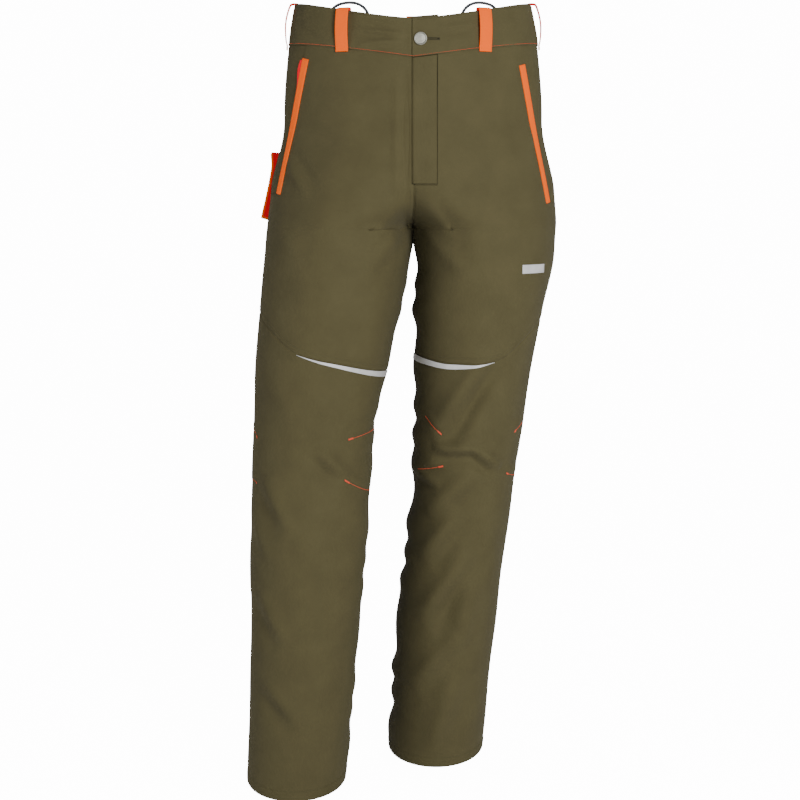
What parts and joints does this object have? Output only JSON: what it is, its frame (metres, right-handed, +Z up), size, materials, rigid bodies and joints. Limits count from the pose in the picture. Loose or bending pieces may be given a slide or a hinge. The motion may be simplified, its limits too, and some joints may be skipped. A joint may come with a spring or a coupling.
{
  "type": "chainsaw protective trousers",
  "caption": "Full-length forestry work trousers with cut-retardant leg fronts, waistband, fly with zip, slant pockets, belt loops and bending hips and knees.",
  "frame": {"origin": "centre of the waist opening, level with its side edges", "axes": "+Z up out of the waist along the body, -Y towards the front of the garment, +X towards the wearer's left"},
  "size_m": [0.4358, 0.2708, 1.0925],
  "materials": {
    "olive_cloth": "matt woven polyester-cotton twill",
    "orange_binding": "fluorescent orange woven tape",
    "red_cloth": "fluorescent red woven cloth",
    "reflective": "silver-grey retroreflective film on cloth",
    "button_metal": "matt pressed steel",
    "zip_metal": "dull brass-coloured slider and stops",
    "zip_tape": "dark olive zip tape and coil",
    "cut_pack": "layered off-white cut-retardant fibre",
    "lining": "dark olive mesh lining",
    "elastic": "black ribbed elastic",
    "cord": "dark grey round elastic cord"
  },
  "bodies": {
    "seat": {"waistband_front_right": "olive_cloth", "waistband_front_left": "olive_cloth", "waistband_back": "olive_cloth", "back_elastic": "elastic", "belt_loop_front_right": "orange_binding", "belt_loop_front_left": "orange_binding", "belt_loops_side": "orange_binding", "belt_loops_back": "orange_binding", "hip_front_right": "olive_cloth", "hip_front_left": "olive_cloth", "hip_side_right": "olive_cloth", "hip_side_left": "olive_cloth", "seat_back_right": "olive_cloth", "seat_back_left": "olive_cloth", "pocket_binding_right": "orange_binding", "pocket_binding_left": "orange_binding", "pocket_facings": "red_cloth", "pocket_bags": "lining", "fly_shield": "olive_cloth", "zip_tapes": "zip_tape", "zip_coils": "zip_tape", "zip_stops": "zip_metal", "button_tack": "button_metal", "hip_pocket": "olive_cloth", "brace_loop_right": "cord", "brace_loop_left": "cord", "cut_pack_hip_right": "cut_pack", "cut_pack_hip_left": "cut_pack", "lining_hip": "lining"},
    "thigh_right": {"thigh_front_right": "olive_cloth", "thigh_back_right": "olive_cloth", "knee_panel_right": "olive_cloth", "groin_fold_right": "olive_cloth", "reflective_strip_right": "reflective", "cut_pack_thigh_right": "cut_pack", "lining_thigh_right": "lining"},
    "shin_right": {"shin_panel_right": "olive_cloth", "calf_back_right": "olive_cloth", "knee_hollow_right": "olive_cloth", "cut_pack_shin_right": "cut_pack", "lining_shin_right": "lining"},
    "thigh_left": {"thigh_front_left": "olive_cloth", "thigh_back_left": "olive_cloth", "knee_panel_left": "olive_cloth", "groin_fold_left": "olive_cloth", "reflective_strip_left": "reflective", "cut_pack_thigh_left": "cut_pack", "lining_thigh_left": "lining", "thigh_patch": "reflective"},
    "shin_left": {"shin_panel_left": "olive_cloth", "calf_back_left": "olive_cloth", "knee_hollow_left": "olive_cloth", "cut_pack_shin_left": "cut_pack", "lining_shin_left": "lining"},
    "fly_placket": {"fly_placket": "olive_cloth"},
    "zip_slider": {"zip_slider": "zip_metal"},
    "zip_pull": {"zip_pull": "zip_metal"},
    "button_cap": {"button_cap": "button_metal"},
    "pocket_flap": {"hip_pocket_flap": "red_cloth"}
  },
  "joints": [
    {"name": "hip_right", "type": "hinge", "parent": "seat", "child": "thigh_right", "pos_m": [-0.11, 0.005, -0.375], "axis": [-1, 0, 0], "range_deg": [-10, 30], "deforming": ["groin_fold_right"]},
    {"name": "knee_right", "type": "hinge", "parent": "thigh_right", "child": "shin_right", "pos_m": [-0.142, -0.013, -0.62], "axis": [1, 0, 0], "range_deg": [0, 60], "deforming": ["knee_hollow_right"]},
    {"name": "hip_left", "type": "hinge", "parent": "seat", "child": "thigh_left", "pos_m": [0.095, 0.005, -0.375], "axis": [-1, 0, 0], "range_deg": [-10, 30], "deforming": ["groin_fold_left", "thigh_patch"]},
    {"name": "knee_left", "type": "hinge", "parent": "thigh_left", "child": "shin_left", "pos_m": [0.076, 0.024, -0.62], "axis": [1, 0, 0], "range_deg": [0, 60], "deforming": ["knee_hollow_left"]},
    {"name": "fly_open", "type": "hinge", "parent": "seat", "child": "fly_placket", "pos_m": [0.031, -0.12107, -0.245], "axis": [0, 0.0882, 0.9961], "range_deg": [0, 100]},
    {"name": "zip_slide", "type": "slide", "parent": "seat", "child": "zip_slider", "axis": [0, -0.0772, -0.997], "range_m": [0, 0.122]},
    {"name": "pull_lift", "type": "hinge", "parent": "zip_slider", "child": "zip_pull", "pos_m": [0.012, -0.10419, -0.09826], "axis": [-1, 0, 0], "range_deg": [0, 70]},
    {"name": "button_turn", "type": "hinge", "parent": "seat", "child": "button_cap", "pos_m": [0.009, -0.107, -0.056], "axis": [0, -1, 0], "continuous": true},
    {"name": "pocket_flap_lift", "type": "hinge", "parent": "seat", "child": "pocket_flap", "pos_m": [-0.18445, 0.05342, -0.2], "axis": [0.3746, 0.9272, 0], "range_deg": [0, 110]}
  ],
  "couplings": [
    {"joint": "pull_lift", "follows": "fly_open", "ratio": 0.7}
  ]
}
